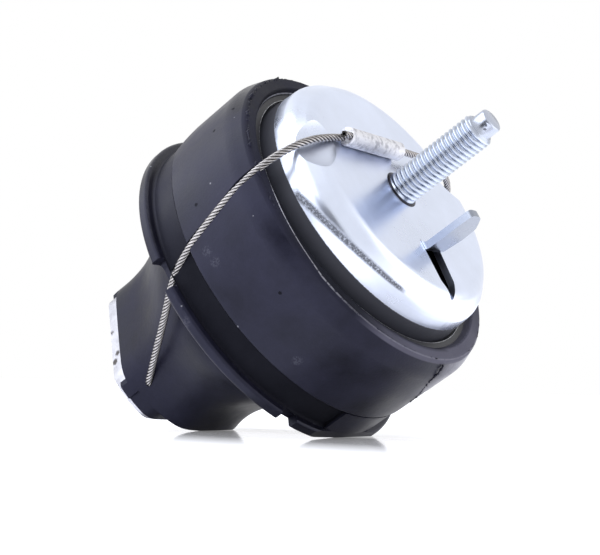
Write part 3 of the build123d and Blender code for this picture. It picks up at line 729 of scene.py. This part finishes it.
class MOUNT_OT_stud(bpy.types.Operator):
    """Turn the stud with its rolled thread, collar and dog point"""

    bl_idname = "mount.stud"
    bl_label = "Threaded stud"

    def execute(self, context):
        settings = context.scene.mount_thread
        steps = settings.segments
        bottom_z, top_z = stud_box[0][2], stud_box[1][2]
        head_z = bottom_z + STUD_HEAD_HEIGHT
        collar_z = plateau_z + STUD_COLLAR_RISE
        dog_z = top_z - STUD_DOG_LENGTH
        lower = [
            (STUD_HEAD_R - STUD_HEAD_EDGE, bottom_z),
            (STUD_HEAD_R, bottom_z + STUD_HEAD_EDGE),
            (STUD_HEAD_R, head_z),
            (STUD_COLLAR_R, head_z),
            (STUD_COLLAR_R, collar_z - STUD_COLLAR_EDGE),
            (STUD_COLLAR_R - STUD_COLLAR_EDGE, collar_z),
        ]
        upper = [
            (STUD_DOG_R, dog_z + 0.1 * MM),
            (STUD_DOG_R, top_z - 0.7 * MM),
            (STUD_DOG_R - 0.2 * MM, top_z - 0.25 * MM),
            (STUD_DOG_R - 0.7 * MM, top_z),
        ]
        rings = [[turned] * steps for turned in lower]
        rows = ceil((dog_z - collar_z) / settings.pitch * THREAD_ROWS)
        for row in range(rows + 1):
            height = collar_z + (dog_z - collar_z) * row / rows
            ring = []
            for step in range(steps):
                angle = tau * step / steps
                ring.append((thread_radius(height, angle, collar_z, dog_z, settings), height))
            rings.append(ring)
        rings += [[turned] * steps for turned in upper]
        points = []
        for ring in rings:
            for step, (radius, height) in enumerate(ring):
                angle = tau * step / steps
                points.append((radius * cos(angle), radius * sin(angle), height))
        faces = []
        join_rings(faces, 0, len(rings), steps)
        for first, height in ((0, bottom_z), (len(points) - steps, top_z)):
            middle = len(points)
            points.append((0.0, 0.0, height))
            faces += [(first + step, first + (step + 1) % steps, middle) for step in range(steps)]
        mesh = mesh_from("threaded_stud", points, faces)
        piece = new_object("threaded_stud", mesh, stud_finish(collar_z))
        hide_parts("stud")
        return {"FINISHED"}


def stud_finish(collar_z):
    """Zinc of the stud, duller on its thread, with painted shade at its foot and in its thread's roots,
    and two stains at its end.
    """
    material = zinc_finish("zinc_stud", 0.27, 0.05)
    tree, shader, tint, _ = reopen(material)
    radius, _, height = cylinder_coordinates(tree)
    # Painted shade on the collar at the stud's foot
    foot = ramp(tree, height, collar_z, collar_z + STUD_COLLAR_EDGE, 1.0, 0.0)
    stain = math(tree, "MULTIPLY", place_marks(tree, STUD_MARKS, 0.5), 0.85)
    # Painted shade in the thread's roots
    root = ramp(tree, radius, STUD_CREST_R - 0.6 * MM, STUD_CREST_R - 0.1 * MM, 0.35, 0.0)
    dulled = mix_colour(tree, ramp(tree, height, *STUD_HAZE_TOP, 0.4, 0.0), tint, STUD_HAZE)
    final = mix_colour(tree, either(tree, [foot, stain, root]), dulled, STUD_STAIN_AND_SHADE)
    tree.links.new(final, shader.inputs["Base Color"])
    return material


# Torn moulding flash, left on the jacket's rim and down its parting line
FLASH_R = 56.0 * MM
FLASH_Z = 99.75 * MM
FLASH_WORST = radians(-128)
FLASH_LEAN = 0.35
FLASH_STEPS = 900
BROAD_SCALE = 9.0
TORN_SCALE = 34.0
TORN_SHIFT = Vector((5.0, 0.0, 0.0))
RAGGED_SCALE = 90.0
RIDGE_FOOT = 0.3 * MM

# The parting line in degrees and millimetres, from the neck up to where it bends in over the rim
SEAM = ((13.5, 76.0), (12.0, 80.0), (7.0, 86.0), (3.5, 91.0), (2.5, 95.0), (2.5, 98.6))
SEAM_R = 59.25 * MM
SEAM_BEND_Z = 95.5
SEAM_BEND_SLOPE = 0.45 * MM
SEAM_STEPS = 90
SEAM_WANDER = 0.5


def add_ridge(points, faces, centres, outs, rises, widths):
    """Add a three-sided ridge along a line, with its foot sunk into the rubber."""
    base = len(points)
    for index, centre in enumerate(centres):
        after = centres[min(index + 1, len(centres) - 1)]
        before = centres[max(index - 1, 0)]
        side = (after - before).normalized().cross(outs[index]) * widths[index] / 2
        foot = centre - outs[index] * RIDGE_FOOT
        points += [foot - side, foot + side, centre + outs[index] * rises[index]]
    join_rings(faces, base, len(centres), 3)
    last = base + (len(centres) - 1) * 3
    faces.append((base + 2, base + 1, base))
    faces.append((last, last + 1, last + 2))


def rim_ridge():
    """Lines, heights and widths of the ridge round the rim, highest where it is worst torn."""
    centres, outs, rises, widths = [], [], [], []
    for step in range(FLASH_STEPS + 1):
        angle = tau * step / FLASH_STEPS
        spot = Vector((cos(angle), sin(angle), 0.0))
        broad = noise.noise(spot * BROAD_SCALE)
        torn = noise.noise(spot * TORN_SCALE + TORN_SHIFT)
        ragged = noise.noise(spot * RAGGED_SCALE)
        radius = FLASH_R + (0.5 * broad + 0.55 * torn) * MM
        gain = 0.5 + 1.3 * max(0.0, cos(angle - FLASH_WORST)) ** 3
        centres.append(spot * radius + Vector((0.0, 0.0, FLASH_Z)))
        outs.append((Vector((0.0, 0.0, 1.0)) + spot * FLASH_LEAN).normalized())
        rises.append(max(0.05, 0.35 + 0.6 * broad + 0.8 * torn + 0.25 * ragged) * gain * MM)
        widths.append(max(0.3, 0.75 + 0.5 * torn + 0.5 * ragged) * gain * MM)
    return centres, outs, rises, widths


def seam_ridge():
    """Lines, heights and widths of the ridge up the parting line."""
    centres, outs, rises, widths = [], [], [], []
    for step in range(SEAM_STEPS + 1):
        place = step / SEAM_STEPS * (len(SEAM) - 1)
        index = min(int(place), len(SEAM) - 2)
        share = place - index
        degrees = SEAM[index][0] * (1 - share) + SEAM[index + 1][0] * share
        height = SEAM[index][1] * (1 - share) + SEAM[index + 1][1] * share
        angle = radians(degrees + SEAM_WANDER * noise.noise(Vector((0.0, 0.0, height * 1.1))))
        spot = Vector((cos(angle), sin(angle), 0.0))
        radius = SEAM_R - max(0.0, height - SEAM_BEND_Z) * SEAM_BEND_SLOPE
        torn = noise.noise(Vector((height * 0.9, 3.0, 0.0)))
        centres.append(spot * radius + Vector((0.0, 0.0, height * MM)))
        outs.append(spot)
        rises.append(max(0.08, 0.3 + 0.7 * torn) * MM)
        widths.append(max(0.3, 0.6 + 0.6 * torn) * MM)
    return centres, outs, rises, widths


class MOUNT_OT_flash(bpy.types.Operator):
    """Leave the torn flash on the rubber's rim and parting line"""

    bl_idname = "mount.flash"
    bl_label = "Moulding flash"

    def execute(self, context):
        points = []
        faces = []
        for ridge in (rim_ridge(), seam_ridge()):
            add_ridge(points, faces, *ridge)
        mesh = mesh_from("moulding_flash", points, faces)
        material = rubber_finish("flash_rubber", 0.36, 0.0)
        new_object("moulding_flash", mesh, material)
        return {"FINISHED"}


# Wire rope: strands that follow points read from the route's spline
ROPE_STEP = 0.45 * MM
ROUTE_RESOLUTION = 24
STRAND_SIDES = 8


def cable_points():
    """The route's points, in metres, from the ferrule round the loop and back into it."""
    low_x, low_z = LOW_STRAND
    high_x, high_z = HIGH_STRAND
    start_y = ferrule_box[0][1] / MM
    end_y = ferrule_box[1][1] / MM
    points = [(low_x, end_y - 0.6, low_z), (low_x, -10.0, low_z), (low_x, start_y - 1.0, low_z)]
    points += [(x, -y, z) for x, y, z in CABLE_SIDE]
    points += reversed(CABLE_SIDE)
    points += [(high_x, 26.0, high_z - 0.8), (high_x, 9.0, high_z), (high_x, start_y - 3.5, high_z)]
    return [Vector(point) * MM for point in points]


def spline_points(points):
    """Points along a smooth spline through the route's control points."""
    curve = bpy.data.curves.new("cable_route", "CURVE")
    curve.dimensions = "3D"
    curve.resolution_u = ROUTE_RESOLUTION
    spline = curve.splines.new("NURBS")
    spline.points.add(len(points) - 1)
    for control, point in zip(spline.points, points):
        control.co = (*point, 1.0)
    spline.order_u = 3
    spline.use_endpoint_u = True
    holder = bpy.data.objects.new("cable_route", curve)
    bpy.context.collection.objects.link(holder)
    bpy.context.view_layer.update()
    line = bpy.data.meshes.new_from_object(holder)
    path = [vertex.co.copy() for vertex in line.vertices]
    bpy.data.objects.remove(holder)
    return path


def even_points(path, spacing):
    """The same path in equal steps."""
    lengths = [0.0]
    for first, second in zip(path[:-1], path[1:]):
        lengths.append(lengths[-1] + (second - first).length)
    count = max(2, ceil(lengths[-1] / spacing))
    result = []
    index = 0
    for step in range(count + 1):
        target = lengths[-1] * step / count
        while index < len(lengths) - 2 and lengths[index + 1] < target:
            index += 1
        span = lengths[index + 1] - lengths[index]
        share = (target - lengths[index]) / span if span else 0.0
        result.append(path[index].lerp(path[index + 1], share))
    return result


def carried_frames(path):
    """Side vectors carried along a path without twist."""
    tangents = []
    for index in range(len(path)):
        before = path[max(index - 1, 0)]
        after = path[min(index + 1, len(path) - 1)]
        tangents.append((after - before).normalized())
    side = tangents[0].orthogonal().normalized()
    sides = []
    for tangent in tangents:
        side = (side - tangent * side.dot(tangent)).normalized()
        sides.append(side)
    return [(side, tangent.cross(side)) for side, tangent in zip(sides, tangents)]


def add_tube(points, faces, centres, radius, sides):
    """Add a round tube with closed ends to lists of points and faces."""
    base = len(points)
    for centre, (right, up) in zip(centres, carried_frames(centres)):
        for step in range(sides):
            angle = tau * step / sides
            points.append(centre + (right * cos(angle) + up * sin(angle)) * radius)
    join_rings(faces, base, len(centres), sides)
    last = base + (len(centres) - 1) * sides
    faces.append(tuple(base + step for step in reversed(range(sides))))
    faces.append(tuple(last + step for step in range(sides)))


class MOUNT_OT_rope(bpy.types.Operator):
    """Lay the safety cable's strands round its route"""

    bl_idname = "mount.rope"
    bl_label = "Safety cable"

    def execute(self, context):
        settings = context.scene.mount_rope
        path = even_points(spline_points(cable_points()), ROPE_STEP)
        frames = carried_frames(path)
        strand_r = settings.radius / (1 + 1 / sin(pi / settings.strands))
        orbit_r = settings.radius - strand_r
        points = []
        faces = []
        grooves = []
        for strand in range(settings.strands):
            centres = []
            travelled = 0.0
            for index, (centre, (right, up)) in enumerate(zip(path, frames)):
                if index:
                    travelled += (centre - path[index - 1]).length
                angle = tau * (travelled / settings.lay + strand / settings.strands)
                centres.append(centre + (right * cos(angle) + up * sin(angle)) * orbit_r)
            first = len(points)
            add_tube(points, faces, centres, strand_r, STRAND_SIDES)
            for index, point in enumerate(points[first:]):
                reach = (point - path[index // STRAND_SIDES]).length
                grooves.append((reach - orbit_r) / strand_r)
        mesh = mesh_from("wire_rope", points, faces)
        height = mesh.attributes.new("groove", "FLOAT", "POINT")
        height.data.foreach_set("value", grooves)
        piece = new_object("wire_rope", mesh, rope_finish())
        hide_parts("safety_cable")
        return {"FINISHED"}


def rope_finish():
    """Drawn steel wire, clouded, with painted shade and dirt where the strands meet."""
    colour = bpy.context.scene.mount_finish.rope
    material, tree, shader = new_material("rope_steel")
    shader.inputs["Metallic"].default_value = 1.0
    shader.inputs["Roughness"].default_value = 0.26
    grain = place_group(tree, "Grain", fine_scale=2600.0, coarse_scale=700.0)
    dark = tuple(channel * 0.8 for channel in colour)
    pale = tuple(min(1.0, channel * 1.25) for channel in colour)
    tint = mix_colour(tree, ramp(tree, grain.outputs["Coarse"], 0.35, 0.65), dark, pale)
    # Painted shade and dirt in the grooves between the strands
    groove = tree.nodes.new("ShaderNodeAttribute")
    groove.attribute_name = "groove"
    raised = ramp(tree, groove.outputs["Fac"], 0.5, 1.0)
    tree.links.new(mix_colour(tree, raised, ROPE_GROOVE_SHADE_AND_DIRT, tint), shader.inputs["Base Color"])
    tree.links.new(bump(tree, grain.outputs["Fine"], 0.3, 0.08 * MM), shader.inputs["Normal"])
    return material


# Stage: a tilted floor that the mount lies on, soft lamps, black cards and the camera
CAMERA_PLACE = Vector((214.6, -443.9, 312.8)) * MM
CAMERA_RIGHT = Vector((0.39705, 0.58330, 0.70859))
CAMERA_UP = Vector((-0.83325, -0.09459, 0.54476))
CAMERA_BACK = Vector((0.38479, -0.80673, 0.44848))
SENSOR_WIDTH = 36.0
MOUNT_MIDDLE = Vector((0.0, 0.0, 65.0)) * MM

# Lamps and cards: steps right, up and back from the mount's middle as the camera sees it, in metres,
# then a lamp's size, power and colour, or a card's width and height
LAMPS = (
    ("key_lamp", (-0.6, 0.6, 0.2), 1.4, 12.0, (0.88, 0.92, 1.0)),
    ("side_lamp", (0.8, 0.1, 0.1), 0.7, 1.6, (1.0, 1.0, 1.0)),
)
CARDS = (
    ("low_card", (-0.22, -0.22, 0.5), 0.85, 0.55),
    ("camera_card", (-0.15, 0.10, 1.0), 0.85, 0.80),
)

# The floor touches the core's foot and the jacket's flange, and is polished only in front of them
FOOT_CONTACT = Vector((29.9, 0.0, 8.0)) * MM
FLANGE_CONTACT = Vector((58.6, 0.0, 53.2)) * MM
FLOOR_LEAN = radians(2.2)
FLOOR_HALF = 0.9
FLOOR_COLOUR = (0.86, 0.86, 0.89, 1.0)
FLOOR_GLOW = 0.72
POLISH_FRONT = (-110 * MM, -30 * MM)
POLISH_REAR = (0.0, 25 * MM)
POLISH_SHARE = 0.8
POLISH_COLOUR = (0.97, 0.97, 1.0, 1.0)
POLISH_ROUGHNESS = 0.07

# The room's light on the object, and the plain white that the camera and reflections see
ROOM_COLOUR = (0.93, 0.95, 1.0, 1.0)
ROOM_STRENGTH = 0.75
WHITE = (1.0, 1.0, 1.0, 1.0)


def floor_axes():
    """Normal, length and width directions of the floor under the two contacts."""
    along = (FLANGE_CONTACT - FOOT_CONTACT).normalized()
    across = Vector((0.0, 1.0, 0.0))
    up = across.cross(along).normalized()
    if up.dot(-FOOT_CONTACT) < 0:
        up = -up
    lean = Matrix.Rotation(FLOOR_LEAN, 3, along)
    return lean @ up, along, lean @ across


def floor_finish():
    """Pale floor that shows its shadows, is polished near the mount and is see-through from below."""
    material = bpy.data.materials.new("pale_floor")
    material.use_nodes = True
    tree = material.node_tree
    tree.nodes.clear()
    output = tree.nodes.new("ShaderNodeOutputMaterial")
    diffuse = tree.nodes.new("ShaderNodeBsdfDiffuse")
    diffuse.inputs["Color"].default_value = FLOOR_COLOUR
    glow = tree.nodes.new("ShaderNodeEmission")
    glow.inputs["Color"].default_value = WHITE
    glow.inputs["Strength"].default_value = FLOOR_GLOW
    gloss = tree.nodes.new("ShaderNodeBsdfGlossy")
    gloss.inputs["Color"].default_value = POLISH_COLOUR
    gloss.inputs["Roughness"].default_value = POLISH_ROUGHNESS
    lit = tree.nodes.new("ShaderNodeAddShader")
    tree.links.new(diffuse.outputs["BSDF"], lit.inputs[0])
    tree.links.new(glow.outputs["Emission"], lit.inputs[1])

    parts = tree.nodes.new("ShaderNodeSeparateXYZ")
    tree.links.new(object_coordinates(tree), parts.inputs["Vector"])
    front = ramp(tree, parts.outputs["Y"], *POLISH_FRONT, 0.0, POLISH_SHARE)
    rear = ramp(tree, parts.outputs["Y"], *POLISH_REAR, 1.0, 0.0)
    polished = mix_shaders(tree, product(tree, front, rear), lit.outputs["Shader"], gloss.outputs["BSDF"])

    clear = tree.nodes.new("ShaderNodeBsdfTransparent")
    geometry = tree.nodes.new("ShaderNodeNewGeometry")
    seen = mix_shaders(tree, geometry.outputs["Backfacing"], polished, clear.outputs["BSDF"])
    tree.links.new(seen, output.inputs["Surface"])
    return material


def seen_from_middle(steps):
    """Place a number of metres right, up and back from the mount's middle, as the camera sees it."""
    right, up, back = steps
    return MOUNT_MIDDLE + CAMERA_RIGHT * right + CAMERA_UP * up + CAMERA_BACK * back


def add_lamp(name, place, size, power, colour):
    """Soft square lamp that faces the mount."""
    lamp = bpy.data.lights.new(name, "AREA")
    lamp.shape = "SQUARE"
    lamp.size = size
    lamp.energy = power * bpy.context.scene.mount_stage.light
    lamp.color = colour
    holder = bpy.data.objects.new(name, lamp)
    bpy.context.collection.objects.link(holder)
    holder.location = place
    holder.rotation_euler = (MOUNT_MIDDLE - place).to_track_quat("-Z", "Y").to_euler()


def card_finish():
    """Black card that only reflections see."""
    material, _, shader = new_material("black_card")
    shader.inputs["Base Color"].default_value = (0.01, 0.01, 0.012, 1.0)
    shader.inputs["Roughness"].default_value = 0.9
    shader.inputs["Specular IOR Level"].default_value = 0.0
    return material


def add_card(name, place, width, height, material):
    """Flat card that faces the mount and darkens what its metal reflects."""
    facing = (MOUNT_MIDDLE - place).normalized()
    side = facing.cross(CAMERA_UP).normalized() * width / 2
    rise = side.normalized().cross(facing) * height / 2
    corners = [place - side - rise, place + side - rise, place + side + rise, place - side + rise]
    mesh = mesh_from(name, corners, [(0, 1, 2, 3)])
    mesh.materials.append(material)
    card = bpy.data.objects.new(name, mesh)
    bpy.context.collection.objects.link(card)
    card.visible_camera = False
    card.visible_diffuse = False
    card.visible_shadow = False


def add_floor():
    """Wide flat floor under the mount."""
    up, along, across = floor_axes()
    corners = []
    for first, second in ((-1, -1), (1, -1), (1, 1), (-1, 1)):
        corners.append(FOOT_CONTACT + along * FLOOR_HALF * first + across * FLOOR_HALF * second)
    mesh = mesh_from("floor", corners, [(0, 1, 2, 3)])
    if mesh.polygons[0].normal.dot(up) < 0:
        mesh.flip_normals()
    mesh.materials.append(floor_finish())
    ground = bpy.data.objects.new("floor", mesh)
    bpy.context.collection.objects.link(ground)


def pale_room():
    """World of plain white to the camera and to reflections, and softer as light on the object."""
    world = bpy.data.worlds.new("pale_room")
    world.use_nodes = True
    tree = world.node_tree
    tree.nodes.clear()
    output = tree.nodes.new("ShaderNodeOutputWorld")
    path = tree.nodes.new("ShaderNodeLightPath")
    rays = ("Is Camera Ray", "Is Transmission Ray", "Is Glossy Ray")
    seen = either(tree, [path.outputs[name] for name in rays])
    lights = []
    for colour, strength in ((ROOM_COLOUR, ROOM_STRENGTH), (WHITE, 1.0)):
        light = tree.nodes.new("ShaderNodeBackground")
        light.inputs["Color"].default_value = colour
        light.inputs["Strength"].default_value = strength
        lights.append(light.outputs["Background"])
    tree.links.new(mix_shaders(tree, seen, *lights), output.inputs["Surface"])
    return world


def add_camera():
    """Camera at the photo's place and angle."""
    scene = bpy.context.scene
    camera = bpy.data.cameras.new("camera")
    camera.lens = scene.mount_stage.lens
    camera.sensor_width = SENSOR_WIDTH
    camera.clip_start = 0.01
    camera.clip_end = 10.0
    holder = bpy.data.objects.new("camera", camera)
    scene.collection.objects.link(holder)
    turn = Matrix((CAMERA_RIGHT, CAMERA_UP, CAMERA_BACK)).transposed()
    holder.matrix_world = Matrix.Translation(CAMERA_PLACE) @ turn.to_4x4()
    scene.camera = holder


class MOUNT_OT_stage(bpy.types.Operator):
    """Lay the floor, hang the lamps and set the camera"""

    bl_idname = "mount.stage"
    bl_label = "Stage"

    def execute(self, context):
        context.scene.view_settings.view_transform = "Standard"
        context.scene.world = pale_room()
        add_floor()
        for name, steps, size, power, colour in LAMPS:
            add_lamp(name, seen_from_middle(steps), size, power, colour)
        card = card_finish()
        for name, steps, width, height in CARDS:
            add_card(name, seen_from_middle(steps), width, height, card)
        add_camera()
        return {"FINISHED"}


class MOUNT_PT_panel(bpy.types.Panel):
    """Lists the sizes, the colours and the pieces"""

    bl_idname = "MOUNT_PT_panel"
    bl_label = "Engine mount"
    bl_space_type = "VIEW_3D"
    bl_region_type = "UI"
    bl_category = "Engine mount"

    def draw(self, context):
        layout = self.layout
        for settings in (
            context.scene.mount_finish,
            context.scene.mount_thread,
            context.scene.mount_rope,
            context.scene.mount_stage,
        ):
            box = layout.box()
            for name in settings.__annotations__:
                box.prop(settings, name)
        for operator in OPERATORS:
            layout.operator(operator.bl_idname)


OPERATORS = (MOUNT_OT_finishes, MOUNT_OT_stud, MOUNT_OT_flash, MOUNT_OT_rope, MOUNT_OT_stage)
SETTINGS = (
    ("mount_finish", FinishSettings),
    ("mount_thread", ThreadSettings),
    ("mount_rope", RopeSettings),
    ("mount_stage", StageSettings),
)


def register():
    """Make the settings, the operators and the panel known to Blender."""
    for name, group in SETTINGS:
        bpy.utils.register_class(group)
        setattr(bpy.types.Scene, name, PointerProperty(type=group))
    for operator in OPERATORS:
        bpy.utils.register_class(operator)
    bpy.utils.register_class(MOUNT_PT_panel)


def unregister():
    """Take the panel, the operators and the settings out again."""
    bpy.utils.unregister_class(MOUNT_PT_panel)
    for operator in reversed(OPERATORS):
        bpy.utils.unregister_class(operator)
    for name, group in reversed(SETTINGS):
        delattr(bpy.types.Scene, name)
        bpy.utils.unregister_class(group)


def main():
    """Build the dressed mount and its stage."""
    register()
    bpy.ops.mount.finishes()
    bpy.ops.mount.stud()
    bpy.ops.mount.flash()
    bpy.ops.mount.rope()
    bpy.ops.mount.stage()


if __name__ == "__main__":
    main()
